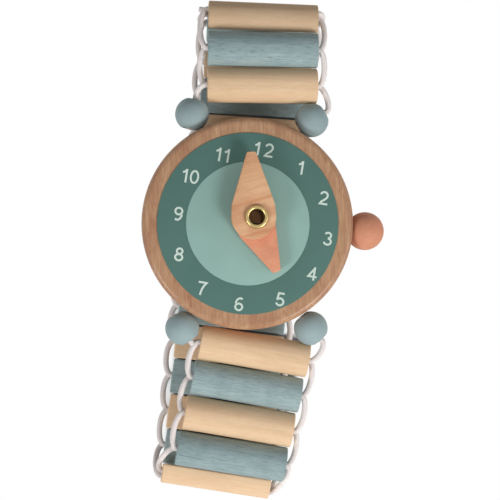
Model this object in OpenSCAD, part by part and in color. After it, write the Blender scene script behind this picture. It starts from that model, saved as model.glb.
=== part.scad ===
// Toy wrist watch: a turned wooden case with printed dial and two turning hands,
// worn on a band of half-round wooden slats that an elastic cord laces together.
// It lies face up, with its band pressed flat under the case.

/* [Case] */
// Radius of the round wooden case
case_r = 22; // [20:0.5:26]
// Thickness of the case
case_t = 8.8; // [8:0.1:11]
// Rounding of the case's two rims
case_round = 1.4; // [0.5:0.1:2]
// Bore of the two cord channels drilled across the case
channel_d = 2.6; // [2:0.1:3.2]

/* [Dial] */
// Outer radius of the dark hour ring
ring_r = 18.8; // [17:0.1:19.5]
// Outer radius of the pale centre disc
centre_r = 12.8; // [10:0.1:14]
// Thickness of the printed dial layer
dial_t = 0.15; // [0.1:0.05:0.4]

/* [Hands] */
// Thickness of each wooden hand
hand_t = 1.8; // [1.2:0.1:2.5]
// Reach of the minute hand from the pivot
minute_len = 13.4; // [11:0.1:15]
// Width of the minute hand at its shoulders
minute_w = 8.9; // [8:0.1:10]
// Width of the minute hand at its tip
minute_tip_w = 1.8; // [1:0.1:3]
// Distance from the minute hand's middle line to its hole
minute_off = 0.6; // [0:0.05:1]
// Reach of the hour hand from the pivot
hour_len = 12; // [9:0.1:13]
// Width of the hour hand at its shoulders
hour_w = 8; // [7:0.1:9]
// Width of the hour hand at its tip
hour_tip_w = 1.65; // [1:0.1:3]
// Distance from the hour hand's middle line to its hole
hour_off = 0.75; // [0:0.05:1]
// Running clearance between a hand and what it turns on
hand_gap = 0.1; // [0.05:0.05:0.3]

/* [Eyelet] */
// Outer diameter of the hollow brass rivet's barrel
barrel_d = 3.75; // [3.6:0.05:4.2]
// Bore right through the rivet
eyelet_bore_d = 3.2; // [2.6:0.05:3.3]
// Diameter of the rolled flange on the face side
flange_d = 4.8; // [4.6:0.1:6]
// Height of the rolled flange
flange_h = 0.7; // [0.5:0.1:1.2]
// Place of the rivet to the right of the case's centre
pivot_x = 1.58; // [0:0.01:3]
// Place of the rivet above the case's centre
pivot_y = 1.29; // [0:0.01:3]

/* [Crown] */
// Diameter of the ball that stands for the winding crown
crown_d = 8; // [6:0.1:8.6]
// Diameter of the dowel that holds the ball
peg_d = 3; // [2:0.1:3.4]
// Length of the dowel in each of the two pieces it joins
peg_reach = 4; // [3:0.1:5]

/* [Beads] */
// Diameter of the four beads on the cord
bead_d = 7.1; // [6:0.1:7.4]
// Bore of each bead
bead_bore_d = 2.4; // [2:0.1:3]

/* [Band slats] */
// Length of a slat across the wrist
slat_l = 23.1; // [20:0.1:26]
// Width of a slat along the band
slat_w = 7.3; // [6.8:0.05:7.7]
// Height of a slat from its flat inner face to its crown
slat_h = 4; // [3.8:0.05:5]
// Bore along each slat for the two strands of cord
slat_bore_d = 2.8; // [2.7:0.1:3]
// Height of the bore's axis above the slat's flat face
slat_bore_up = 2; // [1.8:0.05:2.2]
// Width of the flat land along a slat's crown
land_w = 1.6; // [1:0.1:2.4]
// Gap between neighbouring slats on the face side
slat_gap = 0.23; // [0.2:0.01:0.5]

/* [Elastic] */
// Diameter of the elastic cord
cord_d = 1.2; // [1:0.05:1.25]
// How far a loop of cord stands out past the slat ends
loop_out = 1.6; // [1.2:0.1:2.2]
// Length of the cut tail that shows beside the third slat
tail_l = 1.9; // [1:0.1:3]

/* [Hidden] */
$fn = 64;
slat_count = 21;
top_count = 4;
bottom_count = 5;
bottom_first = slat_count - bottom_count + 1;
back_count = bottom_first - top_count - 1;
overrun = 1;

// Lie of the flattened band. Heading is the direction in which the band runs, seen from
// the side, and yaw is how far a slat is turned clockwise, seen from above.
front_angle = 4;
top_heading_angles = [front_angle, front_angle, -50, -150];
back_angle = -180;
bottom_heading_angles = [-277, -360, -360, -360, -360];
top_yaw_angles = [0.5, 1, 2, 2.2];
bottom_yaw_angles = [9.2, 9.4, 10, 10.3, 9.9];
top_reach = 3.3;
bottom_reach = 1.05;
top_side = 3.2;
bottom_side = 2.3;
bead_clear = 0.015;
bead_tuck = 0.42;
front_slip = 0.32;
fold_slip = 2.2;
back_gap_min = 0.2;

// Case, dial and crown details
channel_rise_share = 0.5;
peg_gap = 0.05;
crown_seat_depth = 0.3;
crown_flat_share = 0.62;
crown_angle = -3.5;
dial_gap = 0.02;
washer_d = 6.4;
washer_t = 0.4;
back_washer_d = 7.6;
back_washer_t = 0.5;
back_flare_d = 5.6;
back_flare_h = 0.6;
barrel_gap = 0.1;
hand_bore_gap = 0.15;
shoulder_rise_share = 0.58;
tail_round_share = 1.03;
tail_in_share = 0.985;
tail_low_share = 0.1;
bead_gap = 0.08;
bead_flat_share = 0.06;
bead_side_shares = [-0.4968, 0.588, -0.5863, 0.5797];
bead_ends = [1, 1, -1, -1];
last_bead = len(bead_ends) - 1;
bead_bore_angles = [78, 30, 303, 312];
strand_gap = 0.1;
strand_off = (cord_d + strand_gap) / 2;
slat_corner_r = 0.5;
cord_side_count = 8;
loop_ring_count = 7;
link_ring_count = 7;
link_pull = 1.5;
tail_slat = top_count - 1;
tail_aside = 0.75;
tail_lift = 0.35;
tail_lean_share = 0.3;

function heading(i) = i <= top_count ? top_heading_angles[i - 1]
    : i < bottom_first ? back_angle : bottom_heading_angles[i - bottom_first];
function yaw(i) = i <= top_count ? top_yaw_angles[i - 1]
    : i >= bottom_first ? bottom_yaw_angles[i - bottom_first]
    : top_yaw_angles[3] + (bottom_yaw_angles[0] - top_yaw_angles[3])
        * ((i - top_count) + (i - 1 - top_count)) / 2 / back_count;

// Directions along a slat, along the band's travel, and out of the slat's crown
function along(i) = [cos(yaw(i)), -sin(yaw(i)), 0];
function travel(i) = [cos(heading(i)) * sin(yaw(i)), cos(heading(i)) * cos(yaw(i)), sin(heading(i))];
function crown(i) = [-sin(heading(i)) * sin(yaw(i)), -sin(heading(i)) * cos(yaw(i)), cos(heading(i))];

// Beads touch the case's wall, as far to the side as the slats' ends
bead_at_r = case_r + bead_d / 2 + bead_gap;
function bead_side(b) = bead_side_shares[b] * slat_l;
function bead_out(b) = sqrt(pow(bead_at_r, 2) - pow(bead_side(b), 2));
bead_turns = [for (b = [0:3]) bead_ends[b] * acos(bead_side(b) / bead_at_r)];

// The first and the last slat stand clear of the case, and of the bead by their right end
top_y = max(case_r + top_reach, bead_out(1) + bead_d / 2 + bead_clear);
bottom_y = -max(case_r + bottom_reach, bead_out(last_bead) + bead_d / 2 - bead_tuck
    - (bead_side(last_bead) - bottom_side) * tan(bottom_yaw_angles[bottom_count - 1]));

// The face side is pitched so that the slats of the back fit between the two folds
function run_of(first, last) = first > last ? 0 : travel(first)[1] + run_of(first + 1, last);
back_need = back_count * (slat_w + back_gap_min) - (top_y - bottom_y);
pitch = max(slat_w + slat_gap, back_need / (run_of(1, top_count) + run_of(bottom_first, slat_count)));

function slip(i) = i <= top_count || i == slat_count ? 0 : i == bottom_first ? -fold_slip : -front_slip;
function top_hinge(k) = k == 0 ? [top_side, top_y, 0] : top_hinge(k - 1) + travel(k) * pitch;
function bottom_hinge(k) = k == slat_count ? [bottom_side, bottom_y, 0]
    : bottom_hinge(k + 1) - travel(k + 1) * pitch + along(k + 1) * slip(k + 1);
top_z = slat_h - top_hinge(top_count)[2];
bottom_z = slat_h - bottom_hinge(bottom_first - 1)[2];
fold_top = top_hinge(top_count) + [0, 0, top_z];
fold_bottom = bottom_hinge(bottom_first - 1) + [0, 0, bottom_z];

// hinge(k) lies between slats k and k + 1, at the level of their flat faces
function hinge(k) = k <= top_count ? top_hinge(k) + [0, 0, top_z]
    : k >= bottom_first - 1 ? bottom_hinge(k) + [0, 0, bottom_z]
    : fold_top + (fold_bottom - fold_top) * (k - top_count) / back_count;
function slat_at(i) = i <= top_count ? hinge(i) - travel(i) * pitch / 2
    : i >= bottom_first ? hinge(i) - travel(i) * pitch / 2 + along(i) * slip(i)
    : (hinge(i) + hinge(i - 1)) / 2;

root_slat = (slat_count + 1) / 2;
origin = [slat_at(root_slat)[0], slat_at(root_slat)[1], 0];
case_mid_z = (slat_at(1)[2] + slat_at(slat_count)[2]) / 2 + slat_bore_up;
case_z = case_mid_z - case_t * channel_rise_share;
face_z = case_z + case_t;
dial_top = face_z + dial_gap + dial_t;
washer_z = dial_top;
hour_z = washer_z + washer_t + hand_gap;
minute_z = hour_z + hand_t + hand_gap;
flange_z = minute_z + hand_t + hand_gap;
crown_seat_r = case_r - crown_seat_depth;
crown_at = crown_seat_r + crown_d / 2 * sqrt(1 - pow(crown_flat_share, 2));

function bead_at(b) = [bead_at_r * cos(bead_turns[b]), bead_at_r * sin(bead_turns[b]), case_mid_z];
function bead_way(b) = [cos(bead_bore_angles[b]), sin(bead_bore_angles[b]), 0];
function mouth_at(b) = [case_r * cos(bead_turns[b]), case_r * sin(bead_turns[b]), case_mid_z];

BEADS = ["bead_top_left", "bead_top_right", "bead_bottom_left", "bead_bottom_right"];
function two_digits(i) = str(i < 10 ? "0" : "", i);
function slat_name(i) = str("slat_", two_digits(i));
function elastic_name(i) = str("elastic_", two_digits(i));

wood = [0.86, 0.70, 0.52];
beech = [0.80, 0.60, 0.46];
blue_paint = [0.55, 0.68, 0.72];
coral_paint = [0.87, 0.60, 0.50];
dark_print = [0.27, 0.49, 0.45];
pale_print = [0.50, 0.69, 0.63];
brass = [0.85, 0.72, 0.32];
cord_white = [0.87, 0.83, 0.84];

// Case

module case_blank() {
    rotate_extrude() {
        square([case_r - case_round, case_t]);
        translate([0, case_round]) square([case_r, case_t - 2 * case_round]);
        for (z = [case_round, case_t - case_round])
            translate([case_r - case_round, z]) circle(case_round);
    }
}

module channel(b, c, d, extra) {
    from = mouth_at(b);
    to = mouth_at(c);
    reach = norm(to - from) + 2 * extra;
    translate((from + to) / 2)
        rotate([0, 0, atan2(to[1] - from[1], to[0] - from[0])])
            rotate([0, 90, 0]) cylinder(h = reach, d = d, center = true);
}

module case() color(beech) translate(-origin) {
    difference() {
        translate([0, 0, case_z]) case_blank();
        translate([pivot_x, pivot_y, case_z - overrun])
            cylinder(h = case_t + 2 * overrun, d = barrel_d + 2 * barrel_gap);
        channel(0, 1, channel_d, bead_d);
        channel(2, 3, channel_d, bead_d);
        rotate([0, 0, crown_angle]) translate([0, 0, case_mid_z]) rotate([0, 90, 0]) {
            translate([0, 0, crown_seat_r - peg_reach])
                cylinder(h = peg_reach + overrun, d = peg_d + 2 * peg_gap);
            translate([0, 0, crown_seat_r]) cylinder(h = crown_d, d = crown_d);
        }
    }
}

// Dial

module dial_layer(outer_r, inner_r) {
    translate([0, 0, face_z + dial_gap]) difference() {
        cylinder(h = dial_t, r = outer_r, $fn = 128);
        translate([0, 0, -overrun]) {
            if (inner_r > 0) cylinder(h = dial_t + 2 * overrun, r = inner_r, $fn = 128);
            translate([pivot_x, pivot_y, 0])
                cylinder(h = dial_t + 2 * overrun, d = barrel_d + 2 * barrel_gap);
        }
    }
}

module dial_ring() color(dark_print) translate(-origin) dial_layer(ring_r, centre_r + dial_gap);
module dial_centre() color(pale_print) translate(-origin) dial_layer(centre_r, 0);

// Hands and their rivet

module at_pivot(z) {
    translate([pivot_x, pivot_y, z] - origin) children();
}

module washer(d, t) {
    difference() {
        cylinder(h = t, d = d);
        translate([0, 0, -overrun]) cylinder(h = t + 2 * overrun, d = barrel_d + 2 * barrel_gap);
    }
}

module dial_washer() color(brass) at_pivot(washer_z + dial_gap) washer(washer_d, washer_t - dial_gap);
module back_washer() color(brass)
    at_pivot(case_z - back_washer_t - dial_gap) washer(back_washer_d, back_washer_t);

module hand(reach, wide, tip_w, off) {
    tail_r = wide / 2 * tail_round_share;
    rise = wide / 2 * shoulder_rise_share;
    difference() {
        translate([off, 0, 0]) {
            cylinder(h = hand_t, r = tail_r);
            linear_extrude(hand_t) polygon([[-tip_w / 2, reach], [tip_w / 2, reach], [wide / 2, rise],
                [tail_r * tail_in_share, -tail_r * tail_low_share],
                [-tail_r * tail_in_share, -tail_r * tail_low_share], [-wide / 2, rise]]);
        }
        translate([0, 0, -overrun])
            cylinder(h = hand_t + 2 * overrun, d = barrel_d + 2 * hand_bore_gap);
    }
}

hour_angle = -155.4;
minute_angle = 2.2;
module hour_hand() color(coral_paint)
    at_pivot(hour_z) rotate([0, 0, hour_angle]) hand(hour_len, hour_w, hour_tip_w, hour_off);
module minute_hand() color(wood)
    at_pivot(minute_z) rotate([0, 0, minute_angle])
        hand(minute_len, minute_w, minute_tip_w, -minute_off);

module eyelet() color(brass) at_pivot(0) {
    back_z = case_z - back_washer_t - 2 * dial_gap;
    roll_r = flange_h / 2;
    rotate_extrude() difference() {
        union() {
            translate([0, back_z - back_flare_h]) square([barrel_d / 2, flange_z + back_flare_h - back_z]);
            translate([0, back_z - back_flare_h]) square([back_flare_d / 2, back_flare_h]);
            translate([0, flange_z]) square([flange_d / 2 - roll_r, flange_h]);
            translate([flange_d / 2 - roll_r, flange_z + roll_r]) circle(roll_r);
        }
        translate([-overrun, back_z - back_flare_h - overrun])
            square([overrun + eyelet_bore_d / 2, flange_z + flange_h - back_z + back_flare_h + 2 * overrun]);
    }
}

// Crown

module crown_frame() {
    translate([0, 0, case_mid_z] - origin) rotate([0, 0, crown_angle]) rotate([0, 90, 0]) children();
}

module crown_ball() color(coral_paint) crown_frame() {
    difference() {
        translate([0, 0, crown_at]) sphere(d = crown_d);
        translate([0, 0, crown_seat_r + peg_gap - crown_d]) cylinder(h = crown_d, d = 2 * crown_d);
        translate([0, 0, crown_seat_r - overrun])
            cylinder(h = peg_reach + peg_gap + overrun, d = peg_d + 2 * peg_gap);
    }
}

module crown_peg() color(wood) crown_frame()
    translate([0, 0, crown_seat_r - peg_reach + peg_gap]) cylinder(h = 2 * peg_reach - peg_gap, d = peg_d);

// Beads

module bead(b) {
    flat = bead_d * bead_flat_share;
    color(blue_paint) translate(bead_at(b) - origin) rotate([0, 0, bead_bore_angles[b]]) rotate([0, 90, 0])
        difference() {
            intersection() {
                sphere(d = bead_d);
                cylinder(h = bead_d - 2 * flat, d = 2 * bead_d, center = true);
            }
            cylinder(h = bead_d + 2 * overrun, d = bead_bore_d, center = true);
        }
}

// Band slats

module slat_section() {
    dome_up = slat_h - sqrt(pow(slat_w / 2, 2) - pow(land_w / 2, 2));
    intersection() {
        union() {
            translate([0, dome_up]) circle(slat_w / 2);
            translate([-slat_w / 2, 0]) square([slat_w, dome_up]);
        }
        translate([-slat_w / 2, 0]) square([slat_w, slat_h]);
    }
}

module slat_plan() {
    r = slat_corner_r;
    square([slat_l - 2 * r, slat_w], center = true);
    square([slat_l, slat_w - 2 * r], center = true);
    for (x = [-1, 1], y = [-1, 1])
        translate([x * (slat_l / 2 - r), y * (slat_w / 2 - r)]) circle(r);
}

module slat(i) {
    color(i % 2 == 1 ? wood : blue_paint)
        translate(slat_at(i) - origin) rotate([0, 0, -yaw(i)]) rotate([heading(i), 0, 0])
            difference() {
                intersection() {
                    rotate([90, 0, 90]) linear_extrude(slat_l, center = true) slat_section();
                    linear_extrude(slat_h) slat_plan();
                }
                translate([0, 0, slat_bore_up]) rotate([0, 90, 0])
                    cylinder(h = slat_l + 2 * overrun, d = slat_bore_d, center = true);
            }
}

// Elastic cord. Two strands cross in every slat's bore and loop round to the next slat.

function unit(v) = v / norm(v);
function spline(a, b, c, d, t) = pow(1 - t, 3) * a + 3 * pow(1 - t, 2) * t * b
    + 3 * (1 - t) * t * t * c + pow(t, 3) * d;
function spline_way(a, b, c, d, t) = unit(pow(1 - t, 2) * (b - a) + 2 * (1 - t) * t * (c - b)
    + t * t * (d - c));

// One tube along a list of stations, each a place, a direction and a side direction
module tube(stations) {
    n = len(stations);
    rings = [for (s = stations) let (u = unit(cross(s[2], s[1])), v = cross(s[1], u))
        for (k = [0:cord_side_count - 1]) s[0]
            + cord_d / 2 * (cos(360 * k / cord_side_count) * u + sin(360 * k / cord_side_count) * v)];
    walls = [for (r = [0:n - 2], k = [0:cord_side_count - 1], half = [0, 1]) let (
        a = r * cord_side_count + k, b = r * cord_side_count + (k + 1) % cord_side_count)
        half == 0 ? [a, a + cord_side_count, b] : [a + cord_side_count, b + cord_side_count, b]];
    first = [for (k = [0:cord_side_count - 1]) k];
    last = [for (k = [cord_side_count - 1:-1:0]) (n - 1) * cord_side_count + k];
    polyhedron(rings, concat(walls, [first, last]));
}

// Where a strand leaves a slat: side is 1 at the right end, and lift is 1 for the outer strand
function mouth(i, side, lift) = slat_at(i) + along(i) * side * slat_l / 2
    + crown(i) * (slat_bore_up + lift * strand_off) - origin;

function loop(a, a_way, b, b_way, pull, rings, up) = [for (k = [1:rings]) let (t = k / rings)
    [spline(a, a + a_way * pull, b + b_way * pull, b, t),
        spline_way(a, a + a_way * pull, b + b_way * pull, b, t), up]];

function run(i, side, lift) = [for (s = [-side, side]) [mouth(i, s, lift), along(i) * side, travel(i)]];

module strand(i, side, lift) {
    pull = loop_out * 4 / 3;
    next = mouth(i + 1, side, lift);
    tube(concat(run(i, side, lift),
        loop(mouth(i, side, lift), along(i) * side, next, along(i + 1) * side, pull, loop_ring_count,
            unit(next - mouth(i, side, lift)))));
}

module elastic(i) color(cord_white) {
    side = i % 2 == 1 ? 1 : -1;
    strand(i, side, 1);
    strand(i, -side, -1);
    if (i == tail_slat) {
        start = mouth(i, -1, -1) - along(i) * strand_gap + travel(i) * tail_aside + crown(i) * tail_lift;
        way = unit(travel(i) * tail_lean_share - along(i));
        tube([[start, way, crown(i)], [start + way * tail_l, way, crown(i)]]);
    }
}

// A link from a slat's end through the bead next to the case
function bead_end(b, s) = bead_at(b) + bead_way(b) * s * bead_d / 2 - origin;
function link(i, side, lift, b) = let (a = mouth(i, side, lift), e = bead_end(b, 1))
    concat(loop(a, along(i) * side, e, bead_way(b), link_pull, link_ring_count, unit(e - a)),
        [[bead_end(b, -1), -bead_way(b), unit(e - a)]]);

module elastic_top_links() color(cord_white) {
    tube(concat([[mouth(1, -1, 1), -along(1), travel(1)]], link(1, -1, 1, 0)));
    tube(concat([[mouth(1, 1, -1), along(1), travel(1)]], link(1, 1, -1, 1)));
}

module elastic_bottom_links() color(cord_white) {
    tube(concat(run(slat_count, -1, -1), link(slat_count, -1, -1, 2)));
    tube(concat(run(slat_count, 1, 1), link(slat_count, 1, 1, 3)));
}

module elastic_case_runs() color(cord_white) translate(-origin) {
    channel(0, 1, cord_d, -cord_d);
    channel(2, 3, cord_d, -cord_d);
}

case();
dial_ring();
dial_centre();
dial_washer();
hour_hand();
minute_hand();
eyelet();
back_washer();
crown_ball();
crown_peg();
for (b = [0:len(BEADS) - 1]) bead(b);
for (i = [1:slat_count]) slat(i);
for (i = [1:slat_count - 1]) elastic(i);
elastic_top_links();
elastic_bottom_links();
elastic_case_runs();
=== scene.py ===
import math
import random

import bmesh
import bpy
from mathutils import Matrix, Vector


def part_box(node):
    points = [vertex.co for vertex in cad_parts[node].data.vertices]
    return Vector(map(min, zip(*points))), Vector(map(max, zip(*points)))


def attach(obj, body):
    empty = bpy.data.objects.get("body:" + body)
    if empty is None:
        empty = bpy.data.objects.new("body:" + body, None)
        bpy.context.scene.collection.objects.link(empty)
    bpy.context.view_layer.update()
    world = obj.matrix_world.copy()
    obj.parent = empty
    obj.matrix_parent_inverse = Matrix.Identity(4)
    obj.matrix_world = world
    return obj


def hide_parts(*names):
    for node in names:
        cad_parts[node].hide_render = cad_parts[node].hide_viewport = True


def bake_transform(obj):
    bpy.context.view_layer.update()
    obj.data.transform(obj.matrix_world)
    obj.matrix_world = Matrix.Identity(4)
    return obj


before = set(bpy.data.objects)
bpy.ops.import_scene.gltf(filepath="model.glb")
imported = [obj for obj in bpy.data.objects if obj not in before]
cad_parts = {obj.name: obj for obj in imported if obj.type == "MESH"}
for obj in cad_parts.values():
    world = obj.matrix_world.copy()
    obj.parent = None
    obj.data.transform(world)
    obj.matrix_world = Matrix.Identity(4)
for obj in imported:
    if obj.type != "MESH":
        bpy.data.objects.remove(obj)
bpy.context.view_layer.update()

# Every length of the watch is in millimetres until piece() writes it into the frame's metres
MM = 0.001
SCALE = Matrix.Scale(MM, 4)
UP = Vector((0, 0, 1))
# Vertices nearer than this are one
WELD = 1e-4


# Reading the CAD nodes

# Faces count as one flat face when their normals agree to one part in this many
DIRECTION_STEPS = 50
# Two directions are square to each other when the cosine between them is less than this
SQUARE = 0.1


def box(node):
    """The lowest and the highest corner of a CAD node."""
    low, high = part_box(node)
    return Vector(low) / MM, Vector(high) / MM


def middle(node):
    low, high = box(node)
    return (low + high) / 2


def flat_faces(node):
    """(area, direction) of a node's flat faces, the largest first."""
    found = {}
    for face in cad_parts[node].data.polygons:
        key = tuple(round(c * DIRECTION_STEPS) for c in face.normal)
        found.setdefault(key, Vector())
        found[key] += face.normal * face.area / MM ** 2
    return sorted(((v.length, v.normalized()) for v in found.values()), key=lambda f: -f[0])


def extent(node, way):
    """The least and the most that a node reaches along a direction."""
    spans = [v.co.dot(way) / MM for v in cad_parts[node].data.vertices]
    return min(spans), max(spans)


def axes(along, across, out, at):
    """The placing matrix of local x, y and z at a point."""
    turn = Matrix((along, across, out)).transposed().to_4x4()
    return Matrix.Translation(at) @ turn


def slat_place(node):
    """A slat's own axes: x along it, y along the band, z out of its crown, from its flat face."""
    faces = flat_faces(node)
    crown = -faces[0][1]
    along = next(way for area, way in faces[1:] if abs(way.dot(crown)) < SQUARE)
    along = along if along.x > 0 else -along
    across = crown.cross(along).normalized()
    mids = [sum(extent(node, way)) / 2 * way for way in (along, across)]
    return axes(along, across, crown, mids[0] + mids[1] + extent(node, crown)[0] * crown)


SLATS = sorted(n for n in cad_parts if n.startswith("slat_"))
PLACES = {n: slat_place(n) for n in SLATS}
COUNT = len(SLATS)


def slat_size(node):
    """A slat's length, width and height."""
    place = PLACES[node].to_3x3()
    return [b - a for a, b in (extent(node, place.col[i]) for i in range(3))]


LENGTH, WIDTH, HEIGHT = slat_size(SLATS[0])
# Width of the flat land along a slat's crown
LAND = 1.6
# Radius of a slat's bore, and its height over the flat face
BORE_R = 1.4
BORE_UP = 2.0
# Radius of the elastic cord, and how far its two strands lie from the bore's axis
CORD_R = 0.6
STRAND_OFF = 0.65
# Radius of the holes in case, dial and washers that the rivet's barrel goes through
PIVOT_HOLE_R = 1.98
# Radius of the two holes for the crown's dowel
DOWEL_HOLE_R = 1.55
case_low, case_high = box("case")
CASE_MID = (case_low + case_high) / 2
CASE_R = (case_high.y - case_low.y) / 2
CASE_T = case_high.z - case_low.z
PIVOT = middle("eyelet")


# Building pieces

# How far the grain of one piece may lie from another's in the same material
GRAIN_SHIFT = 90
# Tones of the pieces that are given none, where 0 is the darkest of a material and 1 the palest
USUAL_TONES = (0.4, 0.8)


def piece(name, shape, place, finish, body, nodes=(), sharp=40, tone_and_light_level=None):
    """Turns a shape in its own axes into a finished piece that rides on a CAD body."""
    dice = random.Random(name)
    shift = Vector([dice.uniform(-GRAIN_SHIFT, GRAIN_SHIFT) for axis in range(3)])
    bmesh.ops.remove_doubles(shape, verts=shape.verts, dist=WELD)
    bmesh.ops.recalc_face_normals(shape, faces=shape.faces)
    own = shape.verts.layers.float_vector.new("own")
    grain = shape.verts.layers.float_vector.new("grain")
    # The tone attribute holds a piece's tone, and for some slats and beads a level of painted light or
    # shade
    tone = shape.verts.layers.float.new("tone")
    if tone_and_light_level is None:
        tone_and_light_level = dice.uniform(*USUAL_TONES)
    for v in shape.verts:
        v[own] = v.co
        v[grain] = v.co + shift
        v[tone] = tone_and_light_level
    shape.transform(SCALE @ place)
    mesh = bpy.data.meshes.new(name)
    shape.to_mesh(mesh)
    shape.free()
    mesh.shade_smooth()
    mesh.set_sharp_from_angle(angle=math.radians(sharp))
    mesh.materials.append(finish)
    made = bpy.data.objects.new(name, mesh)
    bpy.context.scene.collection.objects.link(made)
    if body:
        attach(made, body)
    if nodes:
        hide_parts(*nodes)
    return made


def arc(shape, start, centre, axis, angle, steps):
    """Adds an arc from a vertex and returns its last vertex."""
    made = bmesh.ops.spin(shape, geom=[start], cent=centre, axis=axis, dvec=(0, 0, 0),
                          angle=angle, steps=steps, use_duplicate=False)
    return next(v for v in made["geom_last"] if isinstance(v, bmesh.types.BMVert))


# Segments of a rounded corner, and how many more it has for each mm of its radius
ROUND_STEPS = 3
ROUND_STEPS_A_MM = 2


def outline(shape, points, closed=True):
    """Joins points in a row. A point (x, y, z, r) is rounded by an arc of radius r."""
    verts = [shape.verts.new(p[:3]) for p in points]
    pairs = list(zip(verts, verts[1:])) + ([(verts[-1], verts[0])] if closed else [])
    for a, b in pairs:
        shape.edges.new((a, b))
    for v, p in zip(verts, points):
        if len(p) > 3 and p[3] > 0:
            round_corner(shape, [v], p[3], ROUND_STEPS + int(p[3] * ROUND_STEPS_A_MM), "VERTICES")


def round_corner(shape, geom, offset, segments, affect="EDGES"):
    """Rounds edges, or the corners of a flat outline where affect is VERTICES."""
    bmesh.ops.bevel(shape, geom=geom, offset=offset, offset_type="OFFSET", segments=segments,
                    profile=0.5, affect=affect, clamp_overlap=True, material=-1)


def round_edges(shape, offset, segments, least=40, keep=None):
    """Rounds every edge that turns by at least so many degrees."""
    turning = [e for e in shape.edges if len(e.link_faces) == 2
               and math.degrees(e.calc_face_angle(0)) > least and (keep is None or keep(e))]
    round_corner(shape, turning, offset, segments)


def spin_round(shape, steps):
    """Spins all that a shape holds once round the z axis."""
    bmesh.ops.spin(shape, geom=shape.verts[:] + shape.edges[:], cent=(0, 0, 0), axis=(0, 0, 1),
                   dvec=(0, 0, 0), angle=math.tau, steps=steps, use_merge=True, use_duplicate=False)


def draw_out(shape, faces, way):
    """Draws flat faces out into a body along a way."""
    drawn = bmesh.ops.extrude_face_region(shape, geom=faces, use_keep_orig=True)["geom"]
    bmesh.ops.translate(shape, vec=way,
                        verts=[g for g in drawn if isinstance(g, bmesh.types.BMVert)])


def lathe(profile, steps=96, closed=True):
    """A turned shape, from a profile of (radius, height[, rounding])."""
    shape = bmesh.new()
    outline(shape, [(p[0], 0, p[1]) + tuple(p[2:]) for p in profile], closed)
    spin_round(shape, steps)
    bmesh.ops.remove_doubles(shape, verts=shape.verts, dist=WELD)
    bmesh.ops.recalc_face_normals(shape, faces=shape.faces)
    return shape


DRILL_SIDES = 48


def turned_to(way):
    """The matrix that turns the z axis to a direction."""
    return UP.rotation_difference(way).to_matrix().to_4x4()


def drill(shape, cuts):
    """Cuts cylinders (from, to, radius) out of a closed shape."""
    body = bpy.data.meshes.new("drilled")
    shape.to_mesh(body)
    shape.free()
    blank = bpy.data.objects.new("drilled", body)
    bpy.context.scene.collection.objects.link(blank)
    made = [blank]
    for start, end, radius in cuts:
        way = end - start
        bit = bmesh.new()
        bmesh.ops.create_cone(bit, cap_ends=True, segments=DRILL_SIDES, radius1=radius, radius2=radius,
                              depth=way.length,
                              matrix=Matrix.Translation((start + end) / 2) @ turned_to(way))
        mesh = bpy.data.meshes.new("bit")
        bit.to_mesh(mesh)
        bit.free()
        tool = bpy.data.objects.new("bit", mesh)
        bpy.context.scene.collection.objects.link(tool)
        made.append(tool)
        cut = blank.modifiers.new("cut", "BOOLEAN")
        cut.operation, cut.solver, cut.object = "DIFFERENCE", "EXACT", tool
    bpy.context.view_layer.update()
    graph = bpy.context.evaluated_depsgraph_get()
    done = bpy.data.meshes.new_from_object(blank.evaluated_get(graph))
    out = bmesh.new()
    out.from_mesh(done)
    bpy.data.meshes.remove(done)
    for o in made:
        mesh = o.data
        bpy.data.objects.remove(o)
        bpy.data.meshes.remove(mesh)
    return out


CORD_SIDES = 14


def sweep(shape, path):
    """The round cord along a path, made by extruding a ring from point to point. Its uv map
    holds the distance along the cord and the turn round it."""
    uv = shape.loops.layers.uv.get("cord") or shape.loops.layers.uv.new("cord")
    spoke = shape.verts.layers.int.get("spoke") or shape.verts.layers.int.new("spoke")
    reach = shape.verts.layers.float.get("reach") or shape.verts.layers.float.new("reach")
    last = len(path) - 1
    ways = [(path[min(i + 1, last)] - path[max(i - 1, 0)]).normalized() for i in range(last + 1)]
    ring = bmesh.ops.create_circle(shape, cap_ends=True, segments=CORD_SIDES, radius=CORD_R,
                                   matrix=Matrix.Translation(path[0]) @ turned_to(ways[0]))["verts"]
    for i, v in enumerate(ring):
        v[spoke], v[reach] = i, 0
    old, gone = set(ring), 0.0
    edges = [e for e in shape.edges if e.verts[0] in old and e.verts[1] in old]
    walls = []
    for i in range(1, last + 1):
        out = bmesh.ops.extrude_edge_only(shape, edges=edges)["geom"]
        ring = [g for g in out if isinstance(g, bmesh.types.BMVert)]
        fresh = set(ring)
        edges = [g for g in out if isinstance(g, bmesh.types.BMEdge)
                 and g.verts[0] in fresh and g.verts[1] in fresh]
        walls += [g for g in out if isinstance(g, bmesh.types.BMFace)]
        bmesh.ops.rotate(shape, verts=ring, cent=path[i - 1],
                         matrix=ways[i - 1].rotation_difference(ways[i]).to_matrix())
        bmesh.ops.translate(shape, verts=ring, vec=path[i] - path[i - 1])
        gone += (path[i] - path[i - 1]).length
        for v in ring:
            v[reach] = gone
    bmesh.ops.contextual_create(shape, geom=edges)
    for face in walls:
        wrap = any(loop.vert[spoke] == CORD_SIDES - 1 for loop in face.loops)
        for loop in face.loops:
            turned = CORD_SIDES if wrap and loop.vert[spoke] == 0 else loop.vert[spoke]
            loop[uv].uv = (loop.vert[reach], turned / CORD_SIDES)


def bezier(a, b, c, d, steps):
    """Points along the smooth curve from a to d that sets off towards b and comes in from c."""
    shares = [i / steps for i in range(steps + 1)]
    return [a * (1 - t) ** 3 + b * 3 * t * (1 - t) ** 2 + c * 3 * t * t * (1 - t) + d * t ** 3
            for t in shares]


# Finishes

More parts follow.
